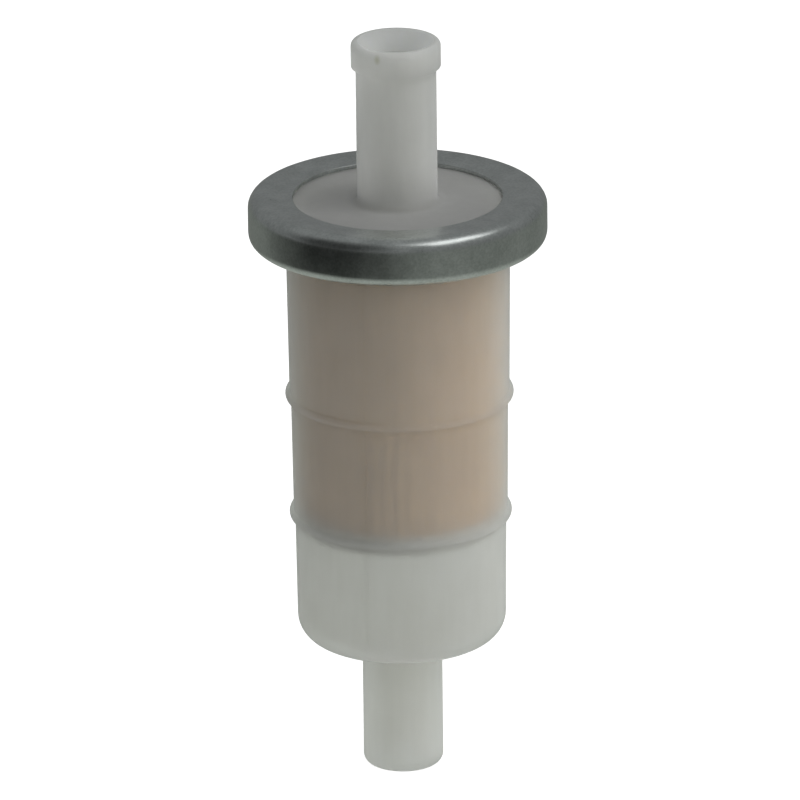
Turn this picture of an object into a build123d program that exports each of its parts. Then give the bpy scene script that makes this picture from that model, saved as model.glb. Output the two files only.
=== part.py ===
from build123d import *

import os
from math import cos, radians, sin, tan

# Inline fuel filter: a moulded nylon bowl and cap, clamped together over an O-ring
# by a rolled steel ring, with a pleated paper element bonded between two end caps.
# Millimetres. Z is the filter's axis, and z = 0 is the end of the bowl's nipple.

# Driving dimensions
nipple_r = 4.75  # both nipples suit hose of 9.5 mm (3/8 in) bore
barb_r = 5.3  # bead at the tip of the cap's nipple
passage_r = 3.0  # fuel passage through both nipples
floor_z = 16.1  # underside of the bowl, so also the free length of its nipple
lower_rib_z = 32.0
upper_rib_z = 46.9
joint_z = 68.7  # plane where the bowl's flange meets the cap's
barb_z = 87.3  # start of the bead on the cap's nipple
top_z = 90.6  # overall length

# Bowl
wall_top_r = 13.25  # outside of the wall just under the flange
wall_t = 1.0
floor_t = 1.6
floor_rounding = 3.1
inlet_tip_rounding = 1.15
draft = tan(radians(0.65))
rib_step = 0.16  # the wall is this much smaller below each rib
rib_bead_r = 0.55
rib_height = 0.5  # how far a rib stands out from the wall above it
flange_r = 17.0
flange_t = 2.2
flange_z = joint_z - flange_t

# Parting lines of the bowl's two-part mould, on opposite sides of the wall
parting_angle = -109.0  # from +X, so the first one is at the front, a little to the left
parting_low_z = floor_z + 3
parting_height = 0.1
parting_width = 0.3
flash_z = 64.5  # a tab of flash crosses the top of each line
flash_width = 1.2
flash_height = 0.18
flash_t = 0.3

# Cap
cap_top_z = joint_z + 2.2
mouth_r = 4.4  # lead-in cone at the nipple's tip
mouth_depth = 2.2
outlet_tip_rounding = 0.6
register_r = 12.15  # lip that centres the cap in the bowl's mouth
register_t = 0.6
register_depth = 1.4
spigot_r = 4.0  # collar that carries the element
spigot_length = 4.4

# O-ring, squeezed in its groove in the bowl's flange
groove_r = 14.8  # mean radius
groove_width = 2.2
groove_depth = 1.4
o_ring_width = 1.9
o_ring_height = 1.38
o_ring_rounding = 0.65

# Crimp ring
ring_t = 0.6
ring_r = 17.65
ring_hole_r = 12.4
ring_lip_r = 14.4  # inner edge of the rolled lower lip
ring_rise = 0.45  # the top climbs by this much from the hole to the rim's corner
ring_top_rounding = 1.6
ring_lip_rounding = 1.3

# End caps, with the potting that fills the trough inside each skirt
end_cap_r = 11.4
end_cap_t = 1.0
skirt_t = 0.3
skirt_depth = 2.4
hub_r = 4.62  # outside of the upper cap's collar and of the lower cap's boss
hub_length = 2.0
slide_gap = 0.02  # radial clearance of the cap's spigot in the collar
lower_cap_z = 30.1
lower_trough_z = lower_cap_z + end_cap_t
upper_trough_z = joint_z - end_cap_t
trough_r = end_cap_r - skirt_t
potting_t = 1.2
embed_depth = 0.8  # how deep the paper and the core tube sit in the potting

# Pleated paper, and the perforated tube inside it
pack_low_z = lower_trough_z + potting_t - embed_depth
pack_length = upper_trough_z - potting_t + embed_depth - pack_low_z
pleat_count = 48
pleat_pitch = 360 / pleat_count
paper_t = 0.3
fold_outer_r = trough_r - 0.05 - paper_t / 2
fold_inner_r = 5.85
seam_low_r = 6.8  # adhesive joining the strip's ends fills one valley between these
seam_high_r = 8.2
core_r = 5.4
core_inner_r = 4.7
window_columns = 4
window_rows = 7
window_height = 3.2
window_width = 3.4
window_rounding = 0.6
window_pitch = (pack_length - 2 * window_height) / (window_rows - 1)


def outline(*corners):
    """Closed outline through corners given as (radius from the axis, height, rounding)."""
    points = [(r, z) for r, z, rounding in corners]
    FilletPolyline(*points, radius=[rounding for r, z, rounding in corners], close=True)


def wall_r(z):
    """Outside radius of the bowl's wall at height z, or just above a rib at z."""
    ribs_above = sum(z < rib_z for rib_z in (lower_rib_z, upper_rib_z))
    return wall_top_r - (flange_z - z) * draft - ribs_above * rib_step


def polar(radius, angle):
    """Point at a radius and an angle in degrees."""
    return (radius * cos(radians(angle)), radius * sin(radians(angle)))


# ---------------------------------------------------------------- housing

with BuildPart() as inlet_bowl:
    with BuildSketch(Plane.XZ) as bowl_section:
        with BuildLine():
            outline(
                (passage_r, 0, 0.3),
                (nipple_r, 0, inlet_tip_rounding),
                (nipple_r, floor_z, 0.6),
                (wall_r(floor_z), floor_z, floor_rounding),
                (wall_r(lower_rib_z) - rib_step, lower_rib_z, 0),
                (wall_r(lower_rib_z), lower_rib_z, 0),
                (wall_r(upper_rib_z) - rib_step, upper_rib_z, 0),
                (wall_r(upper_rib_z), upper_rib_z, 0),
                (wall_top_r, flange_z, 0.3),
                (flange_r, flange_z, 0.8),
                (flange_r, joint_z, 0.2),
                (wall_top_r - wall_t, joint_z, 0.2),
                (wall_r(floor_z) - wall_t, floor_z + floor_t, floor_rounding / 2),
                (passage_r, floor_z + floor_t, 0.5),
            )
        make_face()
        for rib_z in (lower_rib_z, upper_rib_z):
            with Locations((wall_r(rib_z) + rib_height - rib_bead_r, rib_z)):
                Circle(rib_bead_r)
        with Locations((groove_r, joint_z - groove_depth / 2)):
            Rectangle(groove_width, groove_depth, mode=Mode.SUBTRACT)
    revolve(axis=Axis.Z)
    parting_planes = [Plane.XZ.rotated((0, 0, parting_angle + turn)) for turn in (0, 180)]
    levels = (parting_low_z, lower_rib_z, upper_rib_z, flash_z)
    with BuildSketch(*parting_planes) as parting_section:
        for low_z, high_z in zip(levels, levels[1:]):
            low_r = wall_r(low_z)
            high_r = low_r + (high_z - low_z) * draft
            with BuildLine():
                Polyline(
                    (low_r - parting_height, low_z),
                    (low_r + parting_height, low_z),
                    (high_r + parting_height, high_z),
                    (high_r - parting_height, high_z),
                    close=True,
                )
            make_face()
    extrude(amount=parting_width / 2, both=True)
    with BuildSketch(*parting_planes) as flash_section:
        with Locations((wall_r(flash_z), flash_z)):
            Rectangle(2 * flash_height, flash_t)
    extrude(amount=flash_width / 2, both=True)

with BuildPart() as outlet_cap:
    with BuildSketch(Plane.XZ) as cap_section:
        with BuildLine():
            outline(
                (passage_r, joint_z - spigot_length, 0.2),
                (spigot_r, joint_z - spigot_length, 0.3),
                (spigot_r, joint_z, 0),
                (register_r - register_t, joint_z, 0),
                (register_r - register_t, joint_z - register_depth, 0.15),
                (register_r, joint_z - register_depth, 0.3),
                (register_r, joint_z, 0),
                (flange_r, joint_z, 0.2),
                (flange_r, cap_top_z, 1.5),
                (nipple_r, cap_top_z, 0.5),
                (nipple_r, barb_z, 0),
                (barb_r, barb_z + 0.2, 0.1),
                (barb_r, top_z, outlet_tip_rounding),
                (mouth_r, top_z, 0.25),
                (passage_r, top_z - mouth_depth, 0.5),
            )
        make_face()
    revolve(axis=Axis.Z)

with BuildPart() as crimp_ring:
    with BuildSketch(Plane.XZ) as ring_section:
        with BuildLine():
            outline(
                (ring_hole_r, cap_top_z, 0.1),
                (ring_r - ring_t, cap_top_z + ring_rise, ring_top_rounding - ring_t),
                (ring_r - ring_t, flange_z, ring_lip_rounding - ring_t),
                (ring_lip_r, flange_z, 0.1),
                (ring_lip_r, flange_z - ring_t, 0.25),
                (ring_r, flange_z - ring_t, ring_lip_rounding),
                (ring_r, cap_top_z + ring_rise + ring_t, ring_top_rounding),
                (ring_hole_r, cap_top_z + ring_t, 0.25),
            )
        make_face()
    revolve(axis=Axis.Z)

with BuildPart() as flange_o_ring:
    with BuildSketch(Plane.XZ) as o_ring_section:
        with Locations((groove_r, joint_z - groove_depth / 2)):
            RectangleRounded(o_ring_width, o_ring_height, o_ring_rounding)
    revolve(axis=Axis.Z)

# ---------------------------------------------------------------- filter element

with BuildPart() as upper_end_cap:
    with BuildSketch(Plane.XZ) as upper_cap_section:
        with BuildLine():
            outline(
                (spigot_r + slide_gap, joint_z, 0),
                (end_cap_r, joint_z, 0.4),
                (end_cap_r, joint_z - skirt_depth, 0.1),
                (trough_r, joint_z - skirt_depth, 0.1),
                (trough_r, upper_trough_z, 0),
                (hub_r, upper_trough_z, 0),
                (hub_r, upper_trough_z - hub_length, 0.1),
                (spigot_r + slide_gap, upper_trough_z - hub_length, 0.1),
            )
        make_face()
    revolve(axis=Axis.Z)

with BuildPart() as lower_end_cap:
    with BuildSketch(Plane.XZ) as lower_cap_section:
        with BuildLine():
            outline(
                (0, lower_cap_z, 0),
                (end_cap_r, lower_cap_z, 0.4),
                (end_cap_r, lower_cap_z + skirt_depth, 0.1),
                (trough_r, lower_cap_z + skirt_depth, 0.1),
                (trough_r, lower_trough_z, 0),
                (hub_r, lower_trough_z, 0),
                (hub_r, lower_trough_z + hub_length, 0.4),
                (0, lower_trough_z + hub_length, 0),
            )
        make_face()
    revolve(axis=Axis.Z)

with BuildPart() as core_tube:
    with BuildSketch(Plane.XY.offset(pack_low_z)) as tube_section:
        Circle(core_r)
        Circle(core_inner_r, mode=Mode.SUBTRACT)
    extrude(amount=pack_length)
    side = Plane(origin=(0, 0, pack_low_z + pack_length / 2), x_dir=(0, 1, 0), z_dir=(1, 0, 0))
    turns = [360 / window_columns * column for column in range(window_columns)]
    with BuildSketch(*[side.rotated((0, 0, turn)) for turn in turns]) as windows:
        with GridLocations(1, window_pitch, 1, window_rows):
            RectangleRounded(window_width, window_height, window_rounding)
    extrude(amount=core_r + 1, mode=Mode.SUBTRACT)

# Middle line of the paper, out and in again around the axis
fold_points = []
for pleat in range(pleat_count):
    fold_points.append(polar(fold_outer_r, pleat * pleat_pitch))
    fold_points.append(polar(fold_inner_r, (pleat + 0.5) * pleat_pitch))

with BuildSketch() as fold_region:
    Polygon(*fold_points, align=None)

with BuildPart() as pleated_paper:
    with BuildSketch(Plane.XY.offset(pack_low_z)) as paper_section:
        offset(fold_region.sketch, amount=paper_t / 2)
        offset(fold_region.sketch, amount=-paper_t / 2, mode=Mode.SUBTRACT)
    extrude(amount=pack_length)

with BuildPart() as seam_bead:
    with BuildSketch(Plane.XY.offset(lower_trough_z + potting_t)) as bead_section:
        Polygon(
            polar(seam_low_r, 0),
            polar(seam_high_r, 0),
            polar(seam_high_r, pleat_pitch),
            polar(seam_low_r, pleat_pitch),
            align=None,
        )
        offset(fold_region.sketch, amount=paper_t / 2, mode=Mode.SUBTRACT)
    extrude(amount=pack_length - 2 * embed_depth)

with BuildPart() as upper_potting:
    with BuildSketch(Plane.XY.offset(upper_trough_z)) as upper_fill:
        Circle(trough_r)
        Circle(hub_r, mode=Mode.SUBTRACT)
    extrude(amount=-potting_t)
    add(pleated_paper.part, mode=Mode.SUBTRACT)
    add(core_tube.part, mode=Mode.SUBTRACT)

with BuildPart() as lower_potting:
    with BuildSketch(Plane.XY.offset(lower_trough_z)) as lower_fill:
        Circle(trough_r)
        Circle(hub_r, mode=Mode.SUBTRACT)
    extrude(amount=potting_t)
    add(pleated_paper.part, mode=Mode.SUBTRACT)
    add(core_tube.part, mode=Mode.SUBTRACT)

# ---------------------------------------------------------------- export

pieces = {
    "inlet_bowl": inlet_bowl,
    "outlet_cap": outlet_cap,
    "crimp_ring": crimp_ring,
    "flange_o_ring": flange_o_ring,
    "upper_end_cap": upper_end_cap,
    "lower_end_cap": lower_end_cap,
    "core_tube": core_tube,
    "pleated_paper": pleated_paper,
    "seam_bead": seam_bead,
    "upper_potting": upper_potting,
    "lower_potting": lower_potting,
}

os.makedirs("parts", exist_ok=True)
for name, piece in pieces.items():
    piece.part.label = name
    export_step(piece.part, f"parts/{name}.step")
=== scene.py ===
import random
from math import acos, atan2, cos, hypot, pi, radians, sin, tan

import bmesh
import bpy
from mathutils import Matrix, Vector

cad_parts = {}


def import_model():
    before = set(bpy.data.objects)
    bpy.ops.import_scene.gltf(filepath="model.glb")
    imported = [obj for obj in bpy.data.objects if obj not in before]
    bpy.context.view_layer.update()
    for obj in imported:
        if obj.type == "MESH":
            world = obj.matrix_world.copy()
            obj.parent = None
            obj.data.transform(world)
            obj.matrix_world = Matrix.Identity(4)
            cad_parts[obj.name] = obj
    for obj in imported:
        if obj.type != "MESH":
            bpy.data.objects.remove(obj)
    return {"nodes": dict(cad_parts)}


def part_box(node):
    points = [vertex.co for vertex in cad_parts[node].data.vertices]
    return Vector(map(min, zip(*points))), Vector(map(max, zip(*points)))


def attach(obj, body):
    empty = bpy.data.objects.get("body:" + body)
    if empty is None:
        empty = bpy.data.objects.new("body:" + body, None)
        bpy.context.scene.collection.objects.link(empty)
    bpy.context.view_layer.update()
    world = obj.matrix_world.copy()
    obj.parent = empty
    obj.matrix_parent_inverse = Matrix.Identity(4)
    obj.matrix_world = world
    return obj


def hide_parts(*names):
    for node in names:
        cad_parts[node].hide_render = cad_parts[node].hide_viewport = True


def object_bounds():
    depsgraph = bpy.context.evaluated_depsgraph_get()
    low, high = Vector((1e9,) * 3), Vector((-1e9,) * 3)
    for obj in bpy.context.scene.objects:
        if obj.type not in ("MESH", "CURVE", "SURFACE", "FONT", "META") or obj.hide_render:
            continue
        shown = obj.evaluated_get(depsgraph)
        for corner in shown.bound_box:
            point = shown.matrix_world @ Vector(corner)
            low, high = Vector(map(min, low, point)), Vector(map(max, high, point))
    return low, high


# Looks of the inline fuel filter. Metres, in the CAD's frame: Z is the filter's axis,
# z = 0 is the end of the bowl's nipple, and the front is the -Y side.

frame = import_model()
cad_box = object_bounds()
mm = 0.001
random.seed(7)

low, high = cad_box
centre = (low + high) / 2
ring_low, ring_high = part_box("crimp_ring")
cap_low, cap_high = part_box("outlet_cap")
paper_low, paper_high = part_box("pleated_paper")


# ---------------------------------------------------------------- node helpers


def new_material(name):
    """A node material, its tree and its Principled shader."""
    made = bpy.data.materials.new(name)
    made.use_nodes = True
    return made, made.node_tree, made.node_tree.nodes["Principled BSDF"]


def put(tree, socket, value):
    """Links value to the input if it is a socket, and sets it otherwise."""
    if isinstance(value, bpy.types.NodeSocket):
        tree.links.new(value, socket)
    else:
        socket.default_value = value


def node(tree, kind, inputs=(), **settings):
    """A node of that kind, with its properties and its inputs, by name or number, filled in."""
    made = tree.nodes.new("ShaderNode" + kind)
    for name, value in settings.items():
        setattr(made, name, value)
    for name, value in dict(inputs).items():
        put(tree, made.inputs[name], value)
    return made


def math(tree, operation, *values):
    """Output of a Math node."""
    return node(tree, "Math", enumerate(values), operation=operation).outputs[0]


def position(tree, stretch=(1, 1, 1)):
    """The surface point in the frame, in metres, with each axis multiplied."""
    coordinates = node(tree, "TexCoord").outputs["Object"]
    return node(tree, "Mapping", {"Vector": coordinates, "Scale": stretch}).outputs[0]


def noise(tree, size, detail=3.0, roughness=0.55, stretch=(1, 1, 1)):
    """Noise of about that feature size in metres, from 0 to 1."""
    values = {
        "Vector": position(tree, stretch),
        "Scale": 1 / size,
        "Detail": detail,
        "Roughness": roughness,
    }
    return node(tree, "TexNoise", values).outputs["Fac"]


def spread(tree, value, low_out, high_out, low_in=0.3, high_in=0.7):
    """value taken from one range to another, and held at its ends."""
    inputs = {
        "Value": value,
        "From Min": low_in,
        "From Max": high_in,
        "To Min": low_out,
        "To Max": high_out,
    }
    return node(tree, "MapRange", inputs).outputs[0]


def mixed(tree, kind, share, first, second):
    """Output of a Mix node, whose sockets depend on the kind of data. share is second's weight."""
    first_input, second_input, output = {"FLOAT": (2, 3, 0), "VECTOR": (4, 5, 1), "RGBA": (6, 7, 2)}[kind]
    inputs = {0: share, first_input: first, second_input: second}
    return node(tree, "Mix", inputs, data_type=kind).outputs[output]


def blend_colours(tree, share, first, second):
    """Colour between first, at share 0, and second, at share 1."""
    return mixed(tree, "RGBA", share, first, second)


def mean(tree, first, second, share=0.5):
    """Weighted mean of two values: share is the second one's weight."""
    return mixed(tree, "FLOAT", share, first, second)


def vector_math(tree, operation, output, *values):
    """Output, "Vector" or "Value", of a Vector Math node."""
    return node(tree, "VectorMath", enumerate(values), operation=operation).outputs[output]


def outward(tree):
    """Level vector from the filter's axis to the surface point."""
    return position(tree, (1, 1, 0))


def height_above_zero(tree):
    """The surface point's z."""
    return node(tree, "SeparateXYZ", {0: position(tree)}).outputs["Z"]


def bump(tree, height, depth, normal=None):
    """Normal for a height from 0 to 1 that stands for depth in metres."""
    made = node(tree, "Bump", {"Height": height, "Distance": depth})
    if normal:
        put(tree, made.inputs["Normal"], normal)
    return made.outputs[0]


# ---------------------------------------------------------------- materials


def rim_spot(tree):
    """Above 0 on a small discoloured spot at the front of the upper nipple, just under its rim."""
    squash = 0.7
    x, y, z = -2.2 * mm, -4.8 * mm, cap_high.z - 0.8 * mm
    point = position(tree, (1, 1, squash))
    gap = vector_math(tree, "DISTANCE", "Value", point, (x, y, squash * z))
    return spread(tree, gap, 0.5, 0.0, 0.1 * mm, 0.5 * mm)


def cap_tint_with_painted_light_and_shade(tree, tint):
    """The cap's tint with painted light and shade: palest in the mouth by painted light, duller out on the
    disc and at the nipple's foot by painted shade.
    """
    radius = vector_math(tree, "LENGTH", "Value", outward(tree))
    z = height_above_zero(tree)
    # Painted shade: the disc darkens away from the nipple.
    disc = spread(tree, radius, 1.0, 0.88, 5.5 * mm, 10.5 * mm)
    # Painted shade at the nipple's foot, darker towards the disc.
    foot = spread(tree, z, 0.90, 1.0, cap_low.z + 6 * mm, cap_low.z + 12 * mm)
    # Painted light: the inside of the mouth is made paler.
    near_axis = math(tree, "LESS_THAN", radius, 4.5 * mm)
    near_tip = math(tree, "GREATER_THAN", z, cap_high.z - 2.3 * mm)
    painted_light_in_mouth = math(tree, "MULTIPLY", near_axis, near_tip)
    shade = math(tree, "ADD", math(tree, "MULTIPLY", disc, foot), math(tree, "MULTIPLY", painted_light_in_mouth, 0.22))
    shaded = node(tree, "VectorMath", {0: tint, "Scale": shade}, operation="SCALE").outputs[0]
    return blend_colours(tree, rim_spot(tree), shaded, (0.42, 0.42, 0.24, 1))


def blur_ribs(tree, normal):
    """The normal, turned towards a plain wall's around the bowl's ribs, which hides most of their shading.

    Only the shading changes: the ribs keep their outline."""
    band_low, band_high = 28 * mm, 51 * mm
    fade = 1 * mm
    inner_r = 12.15 * mm
    strength = 0.65
    z = height_above_zero(tree)
    flat = outward(tree)
    above = spread(tree, z, 0.0, 1.0, band_low - fade, band_low)
    below = spread(tree, z, 1.0, 0.0, band_high, band_high + fade)
    in_band = math(tree, "MULTIPLY", above, below)
    outside = math(tree, "GREATER_THAN", vector_math(tree, "LENGTH", "Value", flat), inner_r)
    share = math(tree, "MULTIPLY", in_band, math(tree, "MULTIPLY", outside, strength))
    turned = mixed(tree, "VECTOR", share, normal, vector_math(tree, "NORMALIZE", "Vector", flat))
    return vector_math(tree, "NORMALIZE", "Vector", turned)


def nylon(name, clearness, dark, light, change_tint=None, change_normal=None):
    """Frosted nylon. Light scatters in the wall, which blurs what stands behind it.

    clearness is the share of light that passes through the wall, and dark and light are its tints.
    Light that leaves by a back face goes straight on, so that the inside stays visible."""
    made, tree, shader = new_material(name)
    cloud = noise(tree, 9 * mm, detail=2)
    streaks = noise(tree, 1.2 * mm, stretch=(1, 1, 0.12))
    mottle = mean(tree, cloud, streaks, 0.4)
    grain = noise(tree, 0.16 * mm, detail=2)
    tint = blend_colours(tree, spread(tree, mottle, 0, 1, 0.36, 0.64), dark, light)
    if change_tint:
        tint = change_tint(tree, tint)
    softened = node(tree, "Bevel", {"Radius": 2.4 * mm}, samples=8).outputs[0]
    if change_normal:
        softened = change_normal(tree, softened)
    put(tree, shader.inputs["Base Color"], tint)
    put(tree, shader.inputs["Roughness"], spread(tree, grain, 0.90, 1.0))
    put(tree, shader.inputs["Normal"], bump(tree, grain, 0.008 * mm, normal=softened))
    shader.inputs["IOR"].default_value = 1.45
    shader.inputs["Transmission Weight"].default_value = clearness
    shader.inputs["Subsurface Weight"].default_value = 1.0
    shader.inputs["Subsurface Radius"].default_value = (1, 1, 1)
    shader.inputs["Subsurface Scale"].default_value = 1.8 * mm
    leaving = node(tree, "NewGeometry").outputs["Backfacing"]
    clear = node(tree, "BsdfTransparent")
    wall = node(tree, "MixShader", {0: leaving, 1: shader.outputs[0], 2: clear.outputs[0]})
    tree.links.new(wall.outputs[0], tree.nodes["Material Output"].inputs["Surface"])
    return made


def zinc():
    """Zinc-plated sheet steel, satin, with a cloudy tone and a fine grain."""
    made, tree, shader = new_material("zinc_plated_steel")
    patches = noise(tree, 0.9 * mm, detail=1)
    cloud = noise(tree, 3 * mm, detail=4)
    grain = noise(tree, 0.3 * mm, detail=2)
    tone = mean(tree, mean(tree, cloud, patches, 0.25), grain, 0.45)
    dull, bright = (0.47, 0.50, 0.485, 1), (0.63, 0.66, 0.645, 1)
    tint = blend_colours(tree, spread(tree, tone, 0, 1, 0.38, 0.62), dull, bright)
    put(tree, shader.inputs["Base Color"], tint)
    put(tree, shader.inputs["Roughness"], spread(tree, tone, 0.25, 0.36, 0.2, 0.8))
    put(tree, shader.inputs["Normal"], bump(tree, grain, 0.003 * mm))
    shader.inputs["Metallic"].default_value = 1.0
    return made


def paper():
    """Resin-treated filter paper, tan, with fibres."""
    made, tree, shader = new_material("filter_paper")
    fibres = noise(tree, 0.5 * mm, detail=5, roughness=0.7, stretch=(1, 1, 0.3))
    cloud = noise(tree, 4 * mm)
    share = math(tree, "ADD", math(tree, "MULTIPLY", fibres, 0.5), math(tree, "MULTIPLY", cloud, 0.5))
    dark, light = (0.69, 0.44, 0.165, 1), (0.86, 0.595, 0.29, 1)
    tint = blend_colours(tree, spread(tree, share, 0, 1, 0.36, 0.64), dark, light)
    put(tree, shader.inputs["Base Color"], tint)
    put(tree, shader.inputs["Normal"], bump(tree, fibres, 0.05 * mm))
    shader.inputs["Roughness"].default_value = 0.9
    return made


def end_cap_plastic():
    """Grey moulded nylon of the end caps and the core tube."""
    made, tree, shader = new_material("end_cap_nylon")
    cloud = noise(tree, 5 * mm)
    grain = noise(tree, 0.2 * mm)
    tint = blend_colours(tree, cloud, (0.50, 0.50, 0.46, 1), (0.56, 0.56, 0.52, 1))
    put(tree, shader.inputs["Base Color"], tint)
    put(tree, shader.inputs["Roughness"], spread(tree, grain, 0.4, 0.55))
    put(tree, shader.inputs["Normal"], bump(tree, grain, 0.01 * mm))
    return made


def adhesive():
    """Cured potting adhesive, amber, glossy, with small bubbles."""
    made, tree, shader = new_material("potting_adhesive")
    cloud = noise(tree, 3 * mm)
    cells = node(tree, "TexVoronoi", {"Vector": position(tree), "Scale": 1 / (0.7 * mm)})
    bubbles = cells.outputs["Distance"]
    tint = blend_colours(tree, cloud, (0.55, 0.44, 0.24, 1), (0.66, 0.56, 0.36, 1))
    put(tree, shader.inputs["Base Color"], tint)
    put(tree, shader.inputs["Normal"], bump(tree, spread(tree, bubbles, 0, 1, 0.0, 0.25), 0.05 * mm))
    shader.inputs["Roughness"].default_value = 0.25
    return made


def rubber():
    """Black nitrile rubber with a faint mould grain."""
    made, tree, shader = new_material("nitrile_rubber")
    grain = noise(tree, 0.15 * mm)
    tint = blend_colours(tree, grain, (0.018, 0.018, 0.018, 1), (0.035, 0.035, 0.034, 1))
    put(tree, shader.inputs["Base Color"], tint)
    put(tree, shader.inputs["Roughness"], spread(tree, grain, 0.5, 0.7))
    put(tree, shader.inputs["Normal"], bump(tree, grain, 0.01 * mm))
    return made


def dress(node_name, made):
    """Gives a CAD node that material."""
    slots = frame["nodes"][node_name].material_slots
    for each in slots:
        each.material = made


# ---------------------------------------------------------------- meshes


def reach(node_name):
    """Smallest and largest distance of a CAD node's points from the axis."""
    radii = [hypot(point.co.x, point.co.y) for point in frame["nodes"][node_name].data.vertices]
    return min(radii), max(radii)


def rounded(corners, arc_steps=8):
    """Closed outline through corners (x, y, rounding), with arcs where a rounding isn't zero."""
    points = []
    for before, corner, after in zip(corners[-1:] + corners[:-1], corners, corners[1:] + corners[:1]):
        tip, rounding = Vector(corner[:2]), corner[2]
        if not rounding:
            points.append(tip)
            continue
        back = (Vector(before[:2]) - tip).normalized()
        onward = (Vector(after[:2]) - tip).normalized()
        half = acos(back.dot(onward)) / 2
        hub = tip + (back + onward).normalized() * rounding / sin(half)
        start = tip + back * rounding / tan(half) - hub
        end = tip + onward * rounding / tan(half) - hub
        sweep = start.angle_signed(end)
        turns = [Matrix.Rotation(-sweep * step / arc_steps, 2) for step in range(arc_steps + 1)]
        points += [hub + turn @ start for turn in turns]
    return points


def build(name, points, faces, made, node_names):
    """A smooth mesh piece that stands for those CAD nodes."""
    mesh = bpy.data.meshes.new(name)
    mesh.from_pydata(points, [], faces)
    shape = bmesh.new()
    shape.from_mesh(mesh)
    bmesh.ops.recalc_face_normals(shape, faces=shape.faces)
    shape.to_mesh(mesh)
    shape.free()
    mesh.shade_smooth()
    mesh.set_sharp_from_angle(angle=radians(45))
    mesh.materials.append(made)
    piece = bpy.data.objects.new(name, mesh)
    bpy.context.scene.collection.objects.link(piece)
    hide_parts(*node_names)
    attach(piece, "root")


def grid_faces(rows, columns, closed_rows=True, closed_columns=True):
    """Quads over a grid of points that is stored row by row, joined up where it is closed."""
    return [
        (
            row * columns + column,
            row * columns + (column + 1) % columns,
            (row + 1) % rows * columns + (column + 1) % columns,
            (row + 1) % rows * columns + column,
        )
        for row in range(rows - (not closed_rows))
        for column in range(columns - (not closed_columns))
    ]


def lathe(section, turns, shift):
    """Points and quads of a ring with that closed section. shift moves a section point at an angle."""
    points = []
    for turn in range(turns):
        angle = 2 * pi * turn / turns
        for r, z in section:
            r, z = shift(r, z, angle)
            points.append((r * cos(angle), r * sin(angle), z))
    return points, grid_faces(turns, len(section))


def ripple(angle, *waves):
    """Sum of sine waves around the axis, given as (lobes, height, phase)."""
    return sum(height * sin(lobes * angle + phase) for lobes, height, phase in waves)


def crimp_ring():
    """The rolled steel ring: pressed sheet whose lip was rolled under the flange, a little unevenly."""
    hole_r, rim_r = reach("crimp_ring")
    sheet = 0.6 * mm
    rise = 0.45 * mm
    lip_r = 14.4 * mm
    lip_reach, hole_reach = 1.6 * mm, 1.2 * mm
    top_rounding, lip_rounding = 1.6 * mm, 1.3 * mm
    low_z, high_z = ring_low.z, ring_high.z
    flat_z = high_z - rise
    section = rounded(
        [
            (hole_r, flat_z - sheet, 0.12 * mm),
            (rim_r - sheet, high_z - sheet, top_rounding - sheet),
            (rim_r - sheet, low_z + sheet, lip_rounding - sheet),
            (lip_r, low_z + sheet, 0.15 * mm),
            (lip_r, low_z, 0.3 * mm),
            (rim_r, low_z, lip_rounding),
            (rim_r, high_z, top_rounding),
            (hole_r, flat_z, 0.08 * mm),
        ]
    )

    def shift(r, z, angle):
        """Makes the radius uneven at the rolled lip, at the hole's edge and at the rim."""
        in_lip = z < low_z + 1.1 * sheet
        lip_share = max(0.0, 1 - (r - lip_r) / lip_reach) * in_lip
        hole_share = max(0.0, 1 - (r - hole_r) / hole_reach)
        rim_share = max(0.0, 1 - (rim_r - r) / sheet)
        r += lip_share * ripple(angle, (9, 0.10 * mm, 0.4), (23, 0.05 * mm, 1.7))
        r += hole_share * ripple(angle, (3, 0.03 * mm, 2.0))
        r += rim_share * ripple(angle, (5, 0.012 * mm, 0.9), (19, 0.008 * mm, 0.2))
        return r, z

    points, faces = lathe(section, 288, shift)
    build("rolled_crimp_ring", points, faces, plated, ["crimp_ring"])


def fold_line(folds):
    """Middle line of the folded paper: round folds outside and tighter ones inside, a little uneven."""
    outer_r, inner_r = folds["outer_r"], folds["inner_r"]
    outer_bend, inner_bend = folds["outer_bend"], folds["inner_bend"]
    depth_scatter, turn_scatter = folds["depth_scatter"], folds["turn_scatter"]
    points = []
    for pleat in range(folds["count"] * 2):
        outside = pleat % 2 == 0
        bend = outer_bend if outside else inner_bend
        hub_r = outer_r - bend - random.uniform(0, depth_scatter) if outside else inner_r + bend
        middle = pi * pleat / folds["count"] + random.uniform(-turn_scatter, turn_scatter)
        reach_out = 1 if outside else -1
        for step in range(folds["arc_steps"] + 1):
            turn = pi * (step / folds["arc_steps"] - 0.5)
            spot = Vector((hub_r + reach_out * bend * cos(turn), bend * sin(turn)))
            points.append(Matrix.Rotation(middle, 2) @ spot)
    return points


def beside(points, distance):
    """The closed line moved sideways by that distance."""
    moved = []
    for before, point, after in zip(points[-1:] + points[:-1], points, points[1:] + points[:1]):
        along = (after - before).normalized()
        moved.append(point + Vector((along.y, -along.x)) * distance)
    return moved


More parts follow.
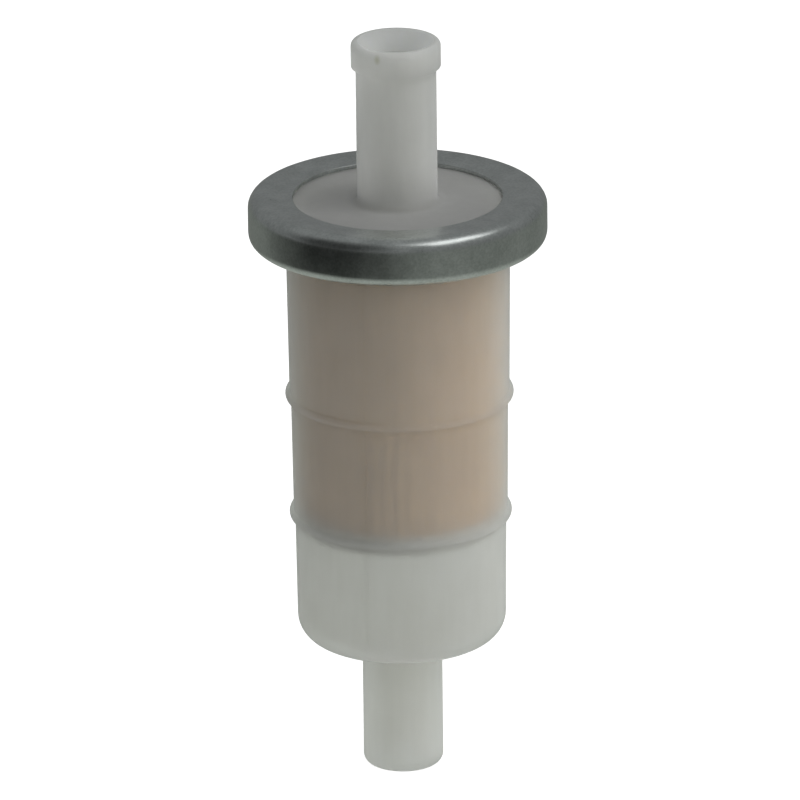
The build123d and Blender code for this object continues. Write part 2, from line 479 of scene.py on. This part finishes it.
def pleated_paper():
    """The filter paper as one folded strip. The folds waver a little along their height."""
    inner_r, outer_r = reach("pleated_paper")
    thickness = 0.3 * mm
    levels = 14
    folds = {
        "count": 48,
        "outer_r": outer_r - thickness / 2,
        "inner_r": inner_r + thickness / 2,
        "outer_bend": 0.36 * mm,
        "inner_bend": 0.22 * mm,
        "depth_scatter": 0.12 * mm,
        "turn_scatter": 0.004,
        "arc_steps": 8,
    }
    line = fold_line(folds)
    faces_out, faces_in = beside(line, thickness / 2), beside(line, -thickness / 2)
    heights = [paper_low.z + (paper_high.z - paper_low.z) * level / (levels - 1) for level in range(levels)]
    points = []
    for out, back in zip(faces_out, faces_in):
        for side, column in ((out, heights), (back, heights[::-1])):
            around = atan2(side.y, side.x)
            for z in column:
                waver = ripple(around, (3, 0.006, z / (7 * mm)), (11, 0.003, z / (2.3 * mm)))
                spot = Matrix.Rotation(waver, 2) @ side
                points.append((spot.x, spot.y, z))
    faces = grid_faces(len(line), 2 * levels)
    build("folded_filter_paper", points, faces, pleated, ["pleated_paper"])


def potting(node_name, climb):
    """Adhesive poured into an end cap's trough, which climbs a little where it wets the walls.

    climb is positive where the open side faces up. The paper and the core tube run into the
    adhesive, which isn't cut around them."""
    inner_r, outer_r = reach(node_name)
    floor_corner, top_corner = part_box(node_name)
    base, level = (floor_corner.z, top_corner.z) if climb > 0 else (top_corner.z, floor_corner.z)
    skin = 0.01 * mm
    steps = 12
    dip, steepness = 0.4, 4
    section = [(inner_r + skin, base), (outer_r - skin, base)]
    for step in range(steps + 1):
        share = 1 - step / steps
        r = inner_r + skin + (outer_r - inner_r - 2 * skin) * share
        near_wall = abs(2 * share - 1) ** steepness
        section.append((r, level + climb * (near_wall - dip)))

    def shift(r, z, angle):
        """Makes the adhesive's open surface a little wavy."""
        on_surface = abs(z - base) > 0.5 * abs(level - base)
        return r, z + on_surface * ripple(angle, (5, 0.03 * mm, r / mm), (13, 0.02 * mm, 2 * r / mm))

    points, faces = lathe(section, 192, shift)
    build(node_name + "_fill", points, faces, glued, [node_name])


def seam_bead():
    """Adhesive run down one valley of the paper, where the strip's ends are joined."""
    inner_r, outer_r = reach("seam_bead")
    bead_low, bead_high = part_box("seam_bead")
    middle = atan2((bead_low.y + bead_high.y) / 2, (bead_low.x + bead_high.x) / 2)
    inner_half, outer_half = 0.08 * mm, 0.13 * mm
    setback, wave, wave_run, swell = 0.15 * mm, 0.12 * mm, 1.9 * mm, 0.08 * mm
    levels, sides = 40, 6
    points = []
    for level in range(levels):
        z = bead_low.z + (bead_high.z - bead_low.z) * level / (levels - 1)
        front = outer_r + wave * sin(z / wave_run) - setback
        section = [(inner_r, -inner_half), (front, -outer_half)]
        for step in range(1, sides):
            bulge = swell * sin(pi * step / sides)
            section.append((front + bulge, outer_half * (2 * step / sides - 1)))
        section += [(front, outer_half), (inner_r, inner_half)]
        for r, across in section:
            spot = Matrix.Rotation(middle, 2) @ Vector((r, across))
            points.append((spot.x, spot.y, z))
    columns = sides + 3
    faces = grid_faces(levels, columns, closed_rows=False)
    faces += [tuple(range(columns)), tuple(range(len(points) - columns, len(points)))]
    build("seam_adhesive", points, faces, glued, ["seam_bead"])


bowl_tints = (0.88, 0.875, 0.835, 1), (0.94, 0.935, 0.90, 1)
cap_tints = (0.80, 0.80, 0.77, 1), (0.86, 0.86, 0.83, 1)
frosted = nylon("frosted_nylon", 0.65, *bowl_tints, change_normal=blur_ribs)
# The cap's tint carries painted shade on its disc and at the nipple's foot, and painted light in its mouth.
thick_frosted = nylon("thick_frosted_nylon", 0.58, *cap_tints, change_tint=cap_tint_with_painted_light_and_shade)
plated = zinc()
moulded = end_cap_plastic()
glued = adhesive()
sealing = rubber()
pleated = paper()
for name, made in {
    "inlet_bowl": frosted,
    "outlet_cap": thick_frosted,
    "flange_o_ring": sealing,
    "upper_end_cap": moulded,
    "lower_end_cap": moulded,
    "core_tube": moulded,
}.items():
    dress(name, made)
crimp_ring()
pleated_paper()
potting("lower_potting", 0.25 * mm)
potting("upper_potting", -0.25 * mm)
seam_bead()


# ---------------------------------------------------------------- stage, light and camera


def floor():
    """A plain pale floor that doesn't hide the filter from below.

    Polished metal mirrors it as grey cloth, darker in front and to the left; this is a painted reflection,
    a glow that only glossy rays see."""
    bpy.ops.mesh.primitive_plane_add(size=8, location=(0, 0, low.z))
    made = bpy.context.object
    made.name = "floor"
    material, tree, shader = new_material("pale_floor")
    tint = blend_colours(tree, noise(tree, 0.4), (0.44, 0.44, 0.43, 1), (0.48, 0.48, 0.47, 1))
    put(tree, shader.inputs["Base Color"], tint)
    shader.inputs["Roughness"].default_value = 0.9
    glow = node(tree, "Emission", {"Color": (1, 1, 1, 1), "Strength": 0.9})
    above = node(tree, "AddShader", {0: shader.outputs[0], 1: glow.outputs[0]})
    under = node(tree, "NewGeometry").outputs["Backfacing"]
    clear = node(tree, "BsdfTransparent")
    seen = node(tree, "MixShader", {0: under, 1: above.outputs[0], 2: clear.outputs[0]})
    # Painted reflection: glossy rays see the floor glow, brighter near the filter and darker in front and
    # to the left.
    dark_side = (-0.77, -0.64, 0)
    flat = outward(tree)
    distance = vector_math(tree, "LENGTH", "Value", flat)
    direction = vector_math(tree, "NORMALIZE", "Vector", flat)
    facing = vector_math(tree, "DOT_PRODUCT", "Value", direction, dark_side)
    far_level = spread(tree, facing, 0.22, 0.01, 0.35, 0.95)
    near_level = 0.48
    near = spread(tree, distance, 1.0, 0.0, 0.06, 0.14)
    level = mean(tree, far_level, near_level, near)
    mirrored = node(tree, "Emission", {"Color": (0.94, 1.0, 0.92, 1), "Strength": level})
    ray = node(tree, "LightPath").outputs
    lit = node(tree, "MixShader", {0: ray["Is Glossy Ray"], 1: shader.outputs[0], 2: mirrored.outputs[0]})
    mix = node(tree, "MixShader", {0: ray["Is Camera Ray"], 1: lit.outputs[0], 2: seen.outputs[0]})
    tree.links.new(mix.outputs[0], tree.nodes["Material Output"].inputs["Surface"])
    made.data.materials.append(material)


def world():
    """Soft room light, brighter from the right and from above, and white to the camera.

    Reflections see a dimmer room, with a dark side to the front left."""
    made = bpy.data.worlds.new("studio")
    bpy.context.scene.world = made
    made.use_nodes = True
    tree = made.node_tree
    background = tree.nodes["Background"]
    direction = node(tree, "TexCoord").outputs["Generated"]
    axes = node(tree, "SeparateXYZ", {0: direction}).outputs
    side = spread(tree, axes["X"], 0.32, 0.66, -0.6, 1.0)
    overhead = spread(tree, axes["Z"], 1.0, 1.3, 0.2, 0.9)
    soft = math(tree, "MULTIPLY", side, overhead)
    mirrored = spread(tree, axes["Z"], 0.21, 0.27, 0.1, 0.9)
    dark_side = (-0.66, -0.55, 0.5)
    towards = vector_math(tree, "DOT_PRODUCT", "Value", direction, dark_side)
    shade = spread(tree, towards, 1.0, 0.12, 0.72, 0.94)
    ray = node(tree, "LightPath").outputs
    level = mean(tree, soft, math(tree, "MULTIPLY", mirrored, shade), ray["Is Glossy Ray"])
    put(tree, background.inputs["Strength"], level)
    background.inputs["Color"].default_value = (0.97, 0.99, 1.0, 1)
    white = node(tree, "Background", {"Color": (1, 1, 1, 1), "Strength": 1.0})
    mix = node(tree, "MixShader", {0: ray["Is Camera Ray"], 1: background.outputs[0], 2: white.outputs[0]})
    tree.links.new(mix.outputs[0], tree.nodes["World Output"].inputs["Surface"])


def softbox(name, azimuth, elevation, distance, width, height, power, glossy=False):
    """An area lamp aimed at the filter. Azimuth 0 is the front and 90 the right.

    A glossy lamp shows only as a highlight, and the others only as soft light."""
    lamp = bpy.data.lights.new(name, "AREA")
    lamp.shape = "RECTANGLE"
    lamp.size, lamp.size_y = width, height
    lamp.energy = power
    made = bpy.data.objects.new(name, lamp)
    bpy.context.scene.collection.objects.link(made)
    made.visible_glossy = glossy
    made.visible_diffuse = not glossy
    made.visible_transmission = not glossy
    turn, lift = radians(azimuth), radians(elevation)
    away = Vector((sin(turn) * cos(lift), -cos(turn) * cos(lift), sin(lift)))
    made.location = centre + away * distance
    made.rotation_euler = away.to_track_quat("Z", "Y").to_euler()


def camera():
    """A long lens a little above the filter, rolled slightly, as the filter leans in the view."""
    lens, sensor = 600 * mm, 36 * mm
    elevation, roll = radians(19.95), radians(-0.645)
    frame_width = 94.7 * mm
    distance = frame_width * lens / sensor
    made = bpy.data.cameras.new("camera")
    made.lens, made.sensor_width = lens / mm, sensor / mm
    made.clip_start, made.clip_end = 0.1, 20
    eye = bpy.data.objects.new("camera", made)
    bpy.context.scene.collection.objects.link(eye)
    back = Vector((0, -cos(elevation), sin(elevation)))
    level = back.to_track_quat("Z", "Y").to_matrix().to_4x4()
    rolled = Matrix.Rotation(roll, 4, back) @ level
    eye.matrix_world = Matrix.Translation(centre + back * distance) @ rolled
    made.shift_x, made.shift_y = 0.0004, 0.0045
    bpy.context.scene.camera = eye


floor()
world()
softbox("key", azimuth=66, elevation=8, distance=0.6, width=0.4, height=0.4, power=0.80)
softbox("top", azimuth=80, elevation=52, distance=0.7, width=0.3, height=0.3, power=0.9)
softbox("fill", azimuth=-50, elevation=5, distance=0.9, width=0.6, height=0.8, power=0.36)
softbox("glint", azimuth=66, elevation=60, distance=0.7, width=0.5, height=0.26, power=0.66, glossy=True)
camera()

bpy.context.scene.view_settings.view_transform = "Standard"
